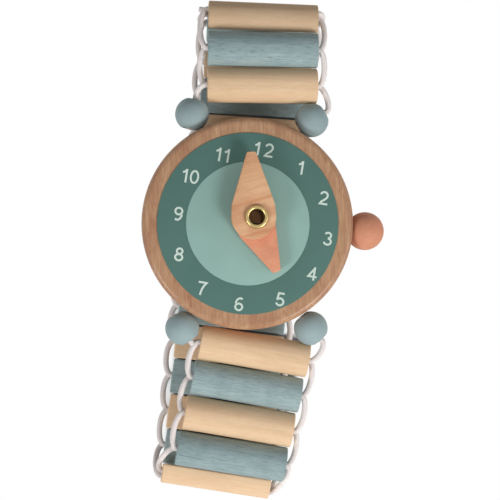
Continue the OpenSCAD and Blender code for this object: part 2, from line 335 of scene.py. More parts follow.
class Finish:
    """A material's node tree, with short calls to add nodes to it."""

    def __init__(self, name):
        self.material = bpy.data.materials.new(name)
        self.material.use_nodes = True
        self.tree = self.material.node_tree
        self.tree.nodes.clear()
        self.shader = self.tree.nodes.new("ShaderNodeBsdfPrincipled")
        self.out = self.tree.nodes.new("ShaderNodeOutputMaterial")
        self.tree.links.new(self.shader.outputs[0], self.out.inputs["Surface"])

    def put(self, socket, value):
        if isinstance(value, bpy.types.NodeSocket):
            self.tree.links.new(value, socket)
        elif isinstance(value, bpy.types.Node):
            self.tree.links.new(value.outputs[0], socket)
        else:
            socket.default_value = value

    def add(self, kind, settings=None, **inputs):
        node = self.tree.nodes.new(kind)
        for key, value in (settings or {}).items():
            setattr(node, key, value)
        for key, value in inputs.items():
            name = int(key[1:]) if key[0] == "i" and key[1:].isdigit() else key.replace("_", " ")
            self.put(node.inputs[name], value)
        return node

    def named(self, name, out="Vector"):
        return self.add("ShaderNodeAttribute", {"attribute_name": name}).outputs[out]

    def stretch(self, vector, scale, turn=(0, 0, 0)):
        return self.add("ShaderNodeMapping", Vector=vector, Scale=scale, Rotation=turn).outputs[0]

    def noise(self, vector, detail, rough, scale=1.0, distort=0.0):
        return self.add("ShaderNodeTexNoise", Vector=vector, Scale=scale, Detail=detail,
                        Roughness=rough, Distortion=distort).outputs[0]

    def remap(self, value, low, high, to_low=0.0, to_high=1.0):
        return self.add("ShaderNodeMapRange", {"clamp": True},
                        Value=value, i1=low, i2=high, i3=to_low, i4=to_high).outputs[0]

    def math(self, kind, a, b=0.0):
        return self.add("ShaderNodeMath", {"operation": kind}, i0=a, i1=b).outputs[0]

    def mix(self, share, a, b):
        """Colour a, turning to colour b by a share."""
        return self.add("ShaderNodeMix", {"data_type": "RGBA"}, i0=share, i6=a, i7=b).outputs[2]

    def lighten(self, colour, darkest, palest=1.12):
        """The colour at the piece's own tone level, which for some slats and beads is a level of
        painted light or shade.
        """
        value = self.remap(self.named("tone", "Fac"), 0.0, 1.0, darkest, palest)
        return self.add("ShaderNodeHueSaturation", Value=value, Color=colour).outputs[0]

    def bump(self, height, strength, distance):
        return self.add("ShaderNodeBump", Height=height, Strength=strength,
                        Distance=distance * MM).outputs[0]

    def surface(self, colour, rough, normal=None, **more):
        self.put(self.shader.inputs["Base Color"], colour)
        self.put(self.shader.inputs["Roughness"], rough)
        if normal is not None:
            self.put(self.shader.inputs["Normal"], normal)
        for key, value in more.items():
            self.put(self.shader.inputs[key.replace("_", " ")], value)
        return self.material


def rgb(r, g, b):
    """An sRGB colour of 0 to 255 as the linear colour a socket takes."""
    def linear(c):
        c /= 255
        return c / 12.92 if c <= 0.04045 else ((c + 0.055) / 1.055) ** 2.4
    return linear(r), linear(g), linear(b), 1.0


# How strongly wood and paint mirror their surroundings
DULL = 0.2


def wood(name, pale, dark, fleck, turn=(0, 0, 0), fleck_share=0.5, gloss=0.0, rough=0.62,
         bands=0.35, band_size=(0.02, 0.5, 0.5), zones=0.3, fibre_share=0.55, relief=0.3,
         size=1.0, zone_size=(0.07, 0.16, 0.16)):
    """Close-grained wood. Its fibres run along x of the grain axes, in mm."""
    f = Finish(name)
    grain = f.stretch(f.named("grain"), (size,) * 3, turn)
    zone = f.noise(f.stretch(grain, zone_size), detail=3, rough=0.55)
    band = f.noise(f.stretch(grain, band_size), detail=4, rough=0.55, distort=0.6)
    fibre = f.noise(f.stretch(grain, (0.3, 2.6, 2.6)), detail=6, rough=0.7)
    fine = f.noise(f.stretch(grain, (0.8, 16.0, 16.0)), detail=3, rough=0.6)
    dash = f.add("ShaderNodeTexVoronoi", {"feature": "F1"},
                 Vector=f.stretch(grain, (0.6, 3.6, 3.6)), Scale=1.0, Randomness=1.0).outputs[0]
    dashes = f.remap(dash, 0.08, 0.3, 1.0, 0.0)
    patches = f.noise(f.stretch(grain, (0.25, 0.7, 0.7)), detail=2, rough=0.5)
    sparse = f.remap(patches, 0.4, 0.62)
    flecks = f.math("MULTIPLY", f.math("MULTIPLY", dashes, sparse), fleck_share)
    body = f.mix(f.remap(band, 0.35, 0.68, 0.0, bands), pale, dark)
    body = f.mix(f.remap(fibre, 0.36, 0.68, 0.0, fibre_share), body, dark)
    body = f.mix(f.remap(zone, 0.44, 0.68, 0.0, zones), body, fleck)
    body = f.mix(f.remap(fine, 0.35, 0.75, 0.0, 0.3), body, pale)
    body = f.mix(flecks, body, fleck)
    height = f.math("SUBTRACT", f.math("ADD", fibre, f.math("MULTIPLY", fine, 0.5)), flecks)
    return f.surface(f.lighten(body, darkest=0.82),
                     f.remap(fibre, 0.3, 0.8, rough - 0.06, rough + 0.1),
                     f.bump(height, relief, 0.05), Coat_Weight=gloss, Coat_Roughness=0.2,
                     Specular_IOR_Level=DULL)


def paint(name, body, thin, thick, streak=0.5, rough=0.55, mottle=0.25,
          grain_scale=(0.11, 1.9, 1.9), lines=0.0, dot=0.0):
    """Thin matt paint on wood: the grain shows through as streaks along x."""
    f = Finish(name)
    grain = f.named("grain")
    streaks = f.noise(f.stretch(grain, grain_scale), detail=6, rough=0.68, distort=0.5)
    hair = f.noise(f.stretch(grain, tuple(c * 4 for c in grain_scale)), detail=3, rough=0.6)
    contour = f.noise(f.stretch(grain, (0.045, 0.75, 0.75)), detail=2, rough=0.45)
    ridge = f.math("ABSOLUTE", f.math("SINE", f.math("MULTIPLY", contour, 42.0)))
    line = f.math("MULTIPLY", f.remap(ridge, 0.0, 0.34, 1.0, 0.0), f.remap(hair, 0.4, 0.62))
    cloud = f.noise(grain, detail=4, rough=0.55, scale=0.28)
    colour = f.mix(f.remap(streaks, 0.34, 0.7, 0.0, streak), body, thin)
    colour = f.mix(f.remap(hair, 0.45, 0.75, 0.0, streak * 0.7), colour, thick)
    colour = f.mix(f.remap(cloud, 0.38, 0.68, 0.0, mottle), colour, thick)
    colour = f.mix(f.math("MULTIPLY", line, lines), colour, thick)
    pits = f.remap(f.noise(grain, detail=2, rough=0.5, scale=2.6), 0.62, 0.76, 0.0, dot)
    colour = f.mix(pits, colour, thick)
    height = f.math("SUBTRACT", f.math("ADD", streaks, f.math("MULTIPLY", hair, 0.6)),
                    f.math("MULTIPLY", line, lines))
    return f.surface(f.lighten(colour, darkest=0.8),
                     f.remap(streaks, 0.3, 0.8, rough, rough + 0.12),
                     f.bump(height, 0.35, 0.05), Specular_IOR_Level=DULL)


def printed(name, body, shade, rough=0.5):
    """Screen-printed colour on the sanded case face."""
    f = Finish(name)
    grain = f.named("grain")
    cloud = f.noise(grain, detail=3, rough=0.5, scale=0.12)
    specks = f.noise(grain, detail=3, rough=0.7, scale=3.4)
    weave = f.noise(f.stretch(grain, (3.2, 0.5, 1)), detail=4, rough=0.7)
    colour = f.mix(f.remap(cloud, 0.35, 0.7, 0.0, 0.35), body, shade)
    colour = f.mix(f.remap(specks, 0.52, 0.74, 0.0, 0.3), colour, shade)
    height = f.math("ADD", specks, weave)
    return f.surface(colour, f.remap(specks, 0.3, 0.75, rough, rough + 0.12),
                     f.bump(height, 0.18, 0.03), Specular_IOR_Level=DULL)


def brass_finish():
    """Polished brass, a little tarnished, and darker and browner down the rivet's bore as painted
    shade.
    """
    f = Finish("brass")
    grain = f.named("grain")
    tarnish = f.noise(grain, detail=4, rough=0.6, scale=0.9)
    hair = f.noise(f.stretch(grain, (1, 1, 14)), detail=3, rough=0.6, scale=1.6)
    own = f.add("ShaderNodeSeparateXYZ", Vector=f.named("own"))
    # Painted shade: the colour turns dark brown from 0.3 mm to 1.1 mm below the eyelet's top, where the
    # bore lies in shade
    deep = f.remap(own.outputs["Z"], -1.1, -0.3, 0.0, 1.0)
    colour = f.mix(f.remap(tarnish, 0.4, 0.75, 0.0, 0.4), rgb(186, 164, 112), rgb(158, 132, 82))
    colour = f.mix(deep, rgb(132, 98, 50), colour)
    return f.surface(colour, f.remap(tarnish, 0.3, 0.8, 0.24, 0.36), f.bump(hair, 0.08, 0.01),
                     Metallic=1.0)


def cord_finish():
    """Elastic with a finely braided cover, from the cord's own uv map."""
    f = Finish("elastic")
    uv = f.add("ShaderNodeUVMap", {"uv_map": "cord"})
    parts = f.add("ShaderNodeSeparateXYZ", Vector=uv.outputs[0])
    u, v = parts.outputs["X"], parts.outputs["Y"]

    def strands(lean):
        turned = f.math("ADD", f.math("MULTIPLY", u, 1.6), f.math("MULTIPLY", v, lean))
        return f.math("SINE", f.math("MULTIPLY", turned, math.tau))

    braid = f.math("MAXIMUM", strands(5.0), strands(-5.0))
    fuzz = f.noise(f.named("grain"), detail=4, rough=0.7, scale=1.6)
    colour = f.mix(f.remap(braid, -0.6, 0.9, 0.0, 1.0), rgb(230, 223, 222), rgb(246, 240, 239))
    colour = f.mix(f.remap(fuzz, 0.4, 0.7, 0.0, 0.5), colour, rgb(232, 221, 221))
    return f.surface(colour, 0.7, f.bump(f.math("ADD", braid, fuzz), 0.25, 0.03),
                     Sheen_Weight=0.2, Sheen_Roughness=0.5, Specular_IOR_Level=0.3)


SLAT_WOOD = wood("slat_wood", rgb(238, 208, 174), rgb(216, 180, 142), rgb(188, 146, 110),
                 fleck_share=0.3, rough=0.6, bands=0.35, zones=0.2)
CASE_WOOD = wood("case_wood", rgb(208, 168, 132), rgb(168, 122, 92), rgb(150, 92, 66),
                 turn=(0, 0, math.radians(88)), fleck_share=0.8, gloss=0.3, rough=0.45, bands=0.35,
                 band_size=(0.03, 0.35, 0.35), zones=0.55, fibre_share=1.0, relief=0.12,
                 size=0.65, zone_size=(0.2, 0.5, 0.5))
HAND_WOOD = wood("hand_wood", rgb(248, 206, 164), rgb(216, 156, 114), rgb(196, 116, 82),
                 turn=(0, 0, math.radians(-14)), fleck_share=0.2, rough=0.55, bands=1.0,
                 band_size=(0.03, 0.42, 0.42), zones=0.7, fibre_share=0.3)
SLAT_PAINT = paint("slat_paint", rgb(152, 174, 178), rgb(180, 198, 198), rgb(102, 126, 134),
                   streak=0.75, lines=1.0)
BEAD_PAINT = paint("bead_paint", rgb(156, 176, 180), rgb(168, 186, 188), rgb(134, 156, 162),
                   streak=0.25, rough=0.6, grain_scale=(0.8, 1.2, 1.2), mottle=0.35, dot=0.3)
CORAL = paint("coral_paint", rgb(228, 158, 126), rgb(236, 178, 148), rgb(200, 124, 94),
              streak=0.4, rough=0.5, grain_scale=(0.4, 1.3, 1.3), mottle=0.4, dot=0.5)
DARK_PRINT = printed("dial_dark", rgb(86, 122, 115), rgb(74, 110, 103))
PALE_PRINT = printed("dial_pale", rgb(150, 187, 180), rgb(138, 174, 167))
DIGIT_PRINT = printed("dial_digits", rgb(214, 232, 224), rgb(196, 216, 208))
BRASS = brass_finish()
ELASTIC = cord_finish()


# Band slats

# Rounding of a slat's bore mouths and of its outer edges
MOUTH_ROUND = 0.16
SLAT_ROUND = 0.3
SLAT_ARC_STEPS = 18
BORE_SIDES = 40
# What lies within this many bore radii of the bore's axis is the bore's own edge
BORE_MARGIN = 1.05


def slat_shape():
    """A half-round slat: its section is spun and joined up, pierced by the bore and drawn out."""
    shape = bmesh.new()
    half, x0 = WIDTH / 2, -LENGTH / 2
    wall = HEIGHT - math.sqrt(half ** 2 - (LAND / 2) ** 2)
    sweep_angle = math.acos(LAND / 2 / half)
    first = shape.verts.new((x0, half, 0))
    side = shape.verts.new((x0, half, wall))
    shape.edges.new((first, side))
    top_a = arc(shape, side, (x0, 0, wall), (1, 0, 0), sweep_angle, SLAT_ARC_STEPS)
    top_b = shape.verts.new((x0, -LAND / 2, HEIGHT))
    shape.edges.new((top_a, top_b))
    end = arc(shape, top_b, (x0, 0, wall), (1, 0, 0), sweep_angle, SLAT_ARC_STEPS)
    last = shape.verts.new((x0, -half, 0))
    shape.edges.new((end, last))
    shape.edges.new((last, first))
    bmesh.ops.remove_doubles(shape, verts=shape.verts, dist=WELD)
    outer = shape.edges[:]
    turn = Matrix.Translation((x0, 0, BORE_UP)) @ Matrix.Rotation(math.pi / 2, 4, "Y")
    ring = set(bmesh.ops.create_circle(shape, cap_ends=False, segments=BORE_SIDES, radius=BORE_R,
                                       matrix=turn)["verts"])
    inner = [e for e in shape.edges if e.verts[0] in ring]
    bmesh.ops.bridge_loops(shape, edges=outer + inner)
    draw_out(shape, shape.faces[:], (LENGTH, 0, 0))
    bmesh.ops.recalc_face_normals(shape, faces=shape.faces)

    def in_bore(e):
        return all(math.hypot(v.co.y, v.co.z - BORE_UP) < BORE_R * BORE_MARGIN for v in e.verts)

    round_edges(shape, MOUTH_ROUND, 2, keep=in_bore)
    round_edges(shape, SLAT_ROUND, 4, keep=lambda e: not in_bore(e))
    return shape


def slat_tone(number):
    """Painted shade and light: slat 3 and slats 5 to 8, which lie in shade, get the darkest tone as
    painted shade, and slats 10 to 16 get the palest as painted light. Slat 1 gets a set tone.
    """
    if number == 1:
        return 0.6
    if number == 3 or 4 < number < 9:
        return 0.0
    return 1.0 if 9 < number < 17 else None


for number, node in enumerate(SLATS, 1):
    bare = number % 2 == 1
    piece("band_slat_%02d" % number, slat_shape(), PLACES[node],
          SLAT_WOOD if bare else SLAT_PAINT, node, [node],
          tone_and_light_level=slat_tone(number))


# Elastic cord

# How far a loop stands out past the slats' ends
LOOP_OUT = 1.6
# The right-hand loops are drawn tighter, and each differs a little from the next
RIGHT_LOOP_SHARE = 0.84
LOOP_SHARES = (0.94, 1.06)
# A strand is straight up to the bore's mouth, with one station this deep inside it
BORE_START = 1.2


def mouth(node, side, lift, inward=0.0):
    """Where a strand leaves a slat's bore. Side is 1 at the right end, lift 1 for the outer strand."""
    local = Vector((side * (LENGTH / 2 - inward), 0, BORE_UP + lift * STRAND_OFF))
    return PLACES[node] @ local


def out_way(node):
    """The direction along a slat, towards its right end."""
    return PLACES[node].to_3x3().col[0]


def half_run(node, side, lift):
    """The strand from the middle of a slat to its station near the bore's mouth."""
    return [mouth(node, side, lift, inward) for inward in (LENGTH / 2, BORE_START)]


def loop_path(one, two, side, lift, bulge):
    """The strand from the middle of one slat round to the middle of the next."""
    pull = LOOP_OUT * 4 / 3 * bulge
    a, b = mouth(one, side, lift), mouth(two, side, lift)
    ahead = bezier(a, a + out_way(one) * side * pull, b + out_way(two) * side * pull, b, 22)
    return half_run(one, side, lift) + ahead + half_run(two, side, lift)[::-1]


for number in range(1, COUNT):
    one, two = SLATS[number - 1], SLATS[number]
    side = 1 if number % 2 == 1 else -1
    dice = random.Random(number)
    shape = bmesh.new()
    for s, lift in ((side, 1), (-side, -1)):
        bulge = dice.uniform(*LOOP_SHARES) * (RIGHT_LOOP_SHARE if s > 0 else 1)
        sweep(shape, loop_path(one, two, s, lift, bulge))
    made = piece("cord_loops_%02d" % number, shape, Matrix(), ELASTIC, None,
                 ["elastic_%02d" % number])
    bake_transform(made)

# The cut tail beside the third slat, in that slat's axes from its left mouth
TAIL_L = 1.9
TAIL_START = Vector((-0.1, 0.75, 0.35))
TAIL_WAY = Vector((-1, 0.3, 0))
turn = PLACES[SLATS[2]].to_3x3()
start = mouth(SLATS[2], -1, -1) + turn @ TAIL_START
way = (turn @ TAIL_WAY).normalized()
shape = bmesh.new()
sweep(shape, [start + way * TAIL_L * share for share in (0, 0.2, 0.5, 0.8, 1.0)])
round_edges(shape, 0.12, 2, least=60)
piece("cord_tail", shape, Matrix(), ELASTIC, SLATS[2])

BEADS = ["bead_top_left", "bead_top_right", "bead_bottom_left", "bead_bottom_right"]
# Painted light and shade: the bottom beads, which face the light, get paler tones than the top ones
BEAD_LIGHT_AND_SHADE_TONES = dict(zip(BEADS, (0.52, 0.48, 0.69, 0.71)))
bead_low, bead_high = box(BEADS[0])
BEAD_R = (bead_high.z - bead_low.z) / 2
# How far a link bends out past the slat's end and past the bead
LINK_PULL = 1.5
# Stations of the strand inside a bead, from its outer mouth to the one at the case
BEAD_RUN_SHARES = (1.08, 0.8, 0.4, 0.0, -0.4, -0.92)


def bead_way(node):
    """A bead's bore direction, pointing away from the case's middle line."""
    way = flat_faces(node)[0][1]
    way.z = 0
    return way.normalized()


def bead_link(node, bead, side, lift):
    """The strand from a slat's end to the bead beside the case, and the strand in the bead."""
    a = mouth(node, side, lift)
    centre = middle(bead)
    way = bead_way(bead)
    if way.dot(a - centre) < 0:
        way = -way
    e = centre + way * BEAD_R
    ahead = bezier(a, a + out_way(node) * side * LINK_PULL, e + way * LINK_PULL, e, 20)
    return (half_run(node, side, lift) + ahead,
            [centre + way * BEAD_R * share for share in BEAD_RUN_SHARES])


def link_shapes(node, left, right, lift):
    """The two strands outside the beads as one shape, those inside them as another."""
    outer, inner = bmesh.new(), bmesh.new()
    for bead, side, up in ((left, -1, lift), (right, 1, -lift)):
        for shape, run in zip((outer, inner), bead_link(node, bead, side, up)):
            sweep(shape, run)
    return outer, inner


outer, inner = link_shapes(SLATS[0], BEADS[0], BEADS[1], 1)
piece("cord_links_top", outer, Matrix(), ELASTIC, SLATS[0], ["elastic_top_links"])
piece("cord_in_beads_top", inner, Matrix(), ELASTIC, "case")
outer, inner = link_shapes(SLATS[-1], BEADS[2], BEADS[3], -1)
piece("cord_in_beads_bottom", inner, Matrix(), ELASTIC, "case")
made = piece("cord_links_bottom", outer, Matrix(), ELASTIC, None, ["elastic_bottom_links"])
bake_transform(made)


# Case

CASE_ROUND = 1.4
CHANNEL_R = 1.3
# How far the drills run past the case's wall
CHANNEL_OVERRUN = 7
DRILL_OVERRUN = 5
# Depth of the dowel's hole behind the flat seat that the crown's ball sits on
DOWEL_DEPTH = 4
SEAT_DEPTH = 0.3
# Radius of that seat, as a share of the ball's
SEAT_SHARE = 0.8
# How far inside the wall the cord's runs through the case end, and their stations
RUN_INSET = 0.6
RUN_STEPS = 8
# Segments round the case and the dial
CASE_SIDES = 160


def level(way):
    """A way without its rise."""
    return Vector((way.x, way.y, 0))


def wall_mouth(bead):
    """Where the cord's channel beside a bead comes out of the case's wall."""
    return level(middle(bead) - CASE_MID).normalized() * CASE_R


mouths = [wall_mouth(b) for b in BEADS]
channels = mouths[:2], mouths[2:]
crown_way = level(middle("crown_ball") - CASE_MID).normalized()
CROWN_R = (box("crown_ball")[1].z - box("crown_ball")[0].z) / 2
SEAT = CASE_R - SEAT_DEPTH
pivot_xy = level(PIVOT - CASE_MID)
pivot_cut = (pivot_xy - UP * CASE_T, pivot_xy + UP * CASE_T, PIVOT_HOLE_R)


def case_shape():
    """A turned disc, drilled for the rivet, the two runs of cord and the crown."""
    half = CASE_T / 2
    disc = lathe([(0, -half), (CASE_R, -half, CASE_ROUND), (CASE_R, half, CASE_ROUND), (0, half)],
                 CASE_SIDES, closed=False)
    cuts = [pivot_cut]
    for a, b in channels:
        past = (b - a).normalized() * CHANNEL_OVERRUN
        cuts.append((a - past, b + past, CHANNEL_R))
    outside = crown_way * (SEAT + DRILL_OVERRUN)
    cuts.append((crown_way * (SEAT - DOWEL_DEPTH), outside, DOWEL_HOLE_R))
    cuts.append((crown_way * SEAT, outside, CROWN_R * SEAT_SHARE))
    return drill(disc, cuts)


piece("watch_case", case_shape(), Matrix.Translation(CASE_MID), CASE_WOOD, "case",
      ["case"], sharp=30)

shape = bmesh.new()
for a, b in channels:
    inset = (b - a).normalized() * RUN_INSET
    step = (b - a - inset * 2) / RUN_STEPS
    sweep(shape, [a + inset + step * count for count in range(RUN_STEPS + 1)])
piece("cord_case_runs", shape, Matrix.Translation(CASE_MID), ELASTIC, "case",
      ["elastic_case_runs"])


# Beads and crown

BEAD_BORE_R = 1.2
# Rounding of a bead's two rims
BEAD_ROUND = 0.22


def drilled_bead(flat_up):
    """A turned ball with its two poles cut flat at a height, and a bore from flat to flat."""
    shape = bmesh.new()
    flat_r = math.sqrt(BEAD_R ** 2 - flat_up ** 2)
    pole = math.atan2(flat_up, flat_r)
    start = shape.verts.new((flat_r, 0, flat_up))
    end = arc(shape, start, (0, 0, 0), (0, 1, 0), 2 * pole, 36)
    inner_top = shape.verts.new((BEAD_BORE_R, 0, flat_up))
    inner_low = shape.verts.new((BEAD_BORE_R, 0, -flat_up))
    shape.edges.new((start, inner_top))
    shape.edges.new((inner_top, inner_low))
    shape.edges.new((inner_low, end))
    corners = [inner_top, inner_low]
    if flat_r - BEAD_BORE_R > BEAD_ROUND:
        corners += [start, end]
    round_corner(shape, corners, BEAD_ROUND, 4, "VERTICES")
    spin_round(shape, 64)
    bmesh.ops.remove_doubles(shape, verts=shape.verts, dist=WELD)
    return shape


for bead in BEADS:
    way = bead_way(bead)
    low, high = extent(bead, way)
    place = Matrix.Translation(middle(bead)) @ turned_to(way)
    piece(bead + "_turned", drilled_bead((high - low) / 2), place, BEAD_PAINT, bead,
          [bead], tone_and_light_level=BEAD_LIGHT_AND_SHADE_TONES[bead])

# How far the ball's flat stands off its seat in the case
CROWN_CLEAR = 0.05
# Radius of that flat as a share of the ball's, from which the ball's middle follows
CROWN_FLAT_SHARE = 0.62
CROWN_ROUND = 0.15
DOWEL_R = 1.5
DOWEL_ROUND = 0.3
crown_at = SEAT + CROWN_R * math.sqrt(1 - CROWN_FLAT_SHARE ** 2)
# The crown's axis runs through the dowel, level with its middle
crown_axis = Vector((CASE_MID.x, CASE_MID.y, middle("crown_peg").z))


def crown_shape():
    """A turned ball with a flat towards the case, and the dowel's blind hole in it."""
    shape = bmesh.new()
    base = SEAT + CROWN_CLEAR - crown_at
    start = shape.verts.new((0, 0, CROWN_R))
    end = arc(shape, start, (0, 0, 0), (0, 1, 0), math.pi / 2 - math.asin(base / CROWN_R), 40)
    rest = [shape.verts.new(p) for p in ((DOWEL_HOLE_R, 0, base), (DOWEL_HOLE_R, 0, base + DOWEL_DEPTH),
                                         (0, 0, base + DOWEL_DEPTH))]
    for a, b in zip([end] + rest, rest):
        shape.edges.new((a, b))
    round_corner(shape, [end], CROWN_ROUND, 3, "VERTICES")
    spin_round(shape, 72)
    return shape


piece("crown_turned", crown_shape(),
      Matrix.Translation(crown_axis + crown_way * crown_at) @ turned_to(crown_way), CORAL, "case",
      ["crown_ball"], tone_and_light_level=0.25)

low, high = extent("crown_peg", crown_way)
half = (high - low) / 2
dowel_mid = crown_axis + crown_way * ((low + high) / 2 - crown_axis.dot(crown_way))
shape = lathe([(0, -half), (DOWEL_R, -half, DOWEL_ROUND), (DOWEL_R, half, DOWEL_ROUND), (0, half)], 40,
              closed=False)
piece("crown_dowel", shape, Matrix.Translation(dowel_mid) @ turned_to(crown_way), SLAT_WOOD, "case",
      ["crown_peg"])


# Dial

dial_low, dial_high = box("dial_ring")
RING_R = (dial_high.x - dial_low.x) / 2
CENTRE_R = (box("dial_centre")[1].x - box("dial_centre")[0].x) / 2
PRINT_ROUND = 0.05
# Gap between the two printed colours
PRINT_GAP = 0.02
thick = dial_high.z - dial_low.z
inner = CENTRE_R + PRINT_GAP
dial_at = Vector((CASE_MID.x, CASE_MID.y, dial_low.z))
shape = lathe([(inner, 0), (RING_R, 0), (RING_R, thick, PRINT_ROUND), (inner, thick)], CASE_SIDES)
piece("dial_hour_ring", shape, Matrix.Translation(dial_at), DARK_PRINT, "case", ["dial_ring"])
shape = lathe([(0, 0), (CENTRE_R, 0), (CENTRE_R, thick, PRINT_ROUND), (0, thick)], CASE_SIDES,
              closed=False)
piece("dial_centre_disc", drill(shape, [pivot_cut]), Matrix.Translation(dial_at), PALE_PRINT, "case",
      ["dial_centre"])

# The print is turned and set off the case's middle, as printing on a toy often is
DIGIT_TURN = math.radians(-9.5)
DIGIT_MID = Vector((0.77, -0.68, 0))
# Radius of the ring of numbers, height of a digit, and its width and pen in shares of that
DIGIT_R = 15.9
DIGIT_H = 2.84
DIGIT_WIDE_SHARE = 1.18
DIGIT_PEN_SHARE = 0.145
# Thickness of the ink, and how much each further stroke adds
INK = 0.03
INK_STEP = 0.005


def oval(cx, cy, rx, ry, start=0, end=360, steps=28):
    """Points along an oval, or along a stretch of it between two angles."""
    angles = [math.radians(start + (end - start) * i / steps) for i in range(steps + 1)]
    return [(cx + rx * math.cos(a), cy + ry * math.sin(a)) for a in angles]


# Each digit's pen strokes in shares of its height, about its own middle line
STROKES = {
    "0": [oval(0, 0.5, 0.225, 0.435)],
    "1": [[(0.07, 0.0), (0.07, 0.72), (0.07, 0.99)],
          [(-0.17, 0.72), (-0.05, 0.775), (0.03, 0.86), (0.06, 0.97)]],
    "2": [oval(0, 0.69, 0.215, 0.245, 168, -28, 18)
          + [(0.13, 0.46), (-0.13, 0.21), (-0.2, 0.065), (0.27, 0.065)]],
    "3": [oval(-0.01, 0.735, 0.185, 0.2, 160, -90, 16), oval(0, 0.29, 0.22, 0.228, 92, -165, 18)],
    "4": [[(0.115, 0.0), (0.115, 0.98)], [(0.13, 0.92), (-0.235, 0.275), (0.29, 0.275)]],
    "5": [[(0.225, 0.935), (-0.13, 0.935), (-0.18, 0.43)], oval(0, 0.315, 0.225, 0.255, 150, -160, 20)],
    "6": [oval(0.01, 0.3, 0.215, 0.24), oval(0.045, 0.5, 0.255, 0.435, 178, 60, 14)],
    "7": [[(-0.26, 0.935), (0.24, 0.935), (0.12, 0.74), (0.01, 0.45), (-0.04, 0.2), (-0.055, 0.0)]],
    "8": [oval(0, 0.735, 0.175, 0.198), oval(0, 0.29, 0.22, 0.228)],
    "9": [oval(-0.01, 0.7, 0.215, 0.24), oval(-0.045, 0.5, 0.255, 0.435, -2, -120, 14)],
}
# How far each digit of a pair stands off their middle
SPREAD_SHARES = {"10": 0.34, "11": 0.31, "12": 0.425}
# Least cosine that a stroke's corner is mitred with, so that sharp ones don't reach out far
MITRE = 0.5


def stroke(shape, path, width, thick):
    """A pen stroke of even width along a flat path."""
    last = len(path) - 1
    shut = (Vector(path[0]) - Vector(path[-1])).length < WELD
    pairs, faces = [], []
    for i, p in enumerate(path):
        if shut and i == last:
            pairs.append(pairs[0])
            break
        before = path[i - 1] if i > 0 else (path[-2] if shut else p)
        after = path[i + 1] if i < last else p
        ahead = (Vector(after) - Vector(p)).normalized()
        behind = (Vector(p) - Vector(before)).normalized()
        way = (ahead + behind).normalized()
        leg = behind if i == last else ahead
        side = Vector((-way.y, way.x)) * width / 2 / max(MITRE, way.dot(leg))
        pairs.append([shape.verts.new((p[0] + side.x * k, p[1] + side.y * k, 0)) for k in (1, -1)])
    for a, b in zip(pairs, pairs[1:]):
        faces.append(shape.faces.new((a[0], a[1], b[1], b[0])))
    draw_out(shape, faces, (0, 0, thick))


def number_shape(text):
    """Printed figures. Strokes that cross differ in height by a few microns."""
    shape = bmesh.new()
    spread = SPREAD_SHARES.get(text, 0)
    thick = INK
    for digit, at in zip(text, (-spread, spread) if spread else (0,)):
        for path in STROKES[digit]:
            stroke(shape, [((x * DIGIT_WIDE_SHARE + at) * DIGIT_H, (y - 0.5) * DIGIT_H)
                           for x, y in path], DIGIT_PEN_SHARE * DIGIT_H, thick)
            thick += INK_STEP
    return shape


# How far each printed figure stands off its even place, in mm
NUDGE = {1: (0.14, -0.02), 2: (0.08, 0.43), 3: (0.1, 0.19), 4: (0.31, 0.48), 5: (0.33, -0.08),
         6: (0, -0.27), 7: (-0.17, -0.41), 8: (-0.08, -0.1), 9: (0.58, 0.06), 10: (-0.5, 0.33),
         11: (-0.37, -0.04), 12: (-0.23, 0.33)}
for hour in range(1, 13):
    a = DIGIT_TURN + math.radians(90 - 30 * hour)
    at = Vector((CASE_MID.x, CASE_MID.y, dial_high.z)) + DIGIT_MID
    at += Vector((math.cos(a), math.sin(a), 0)) * DIGIT_R + Vector(NUDGE[hour] + (0,))
    piece("dial_number_%02d" % hour, number_shape(str(hour)),
          Matrix.Translation(at) @ Matrix.Rotation(DIGIT_TURN, 4, "Z"), DIGIT_PRINT, "case",
          sharp=60)


# Hands, washers and rivet

# Radius of the tail and height of the shoulders, as shares of a hand's half width
TAIL_SHARE = 1.03
SHOULDER_SHARE = 0.58
HAND_BORE_R = 2.02
# Rounding of a hand's tip corners and of its edges
TIP_ROUND = 0.3
HAND_ROUND = 0.16
# A normal that rises less than this is a side wall's, and a point this near an end is on it
WALL_RISE = 0.1
AT_END = 0.01
# Faces that turn by less than this, in radians, become one
FLAT_TURN = 0.01


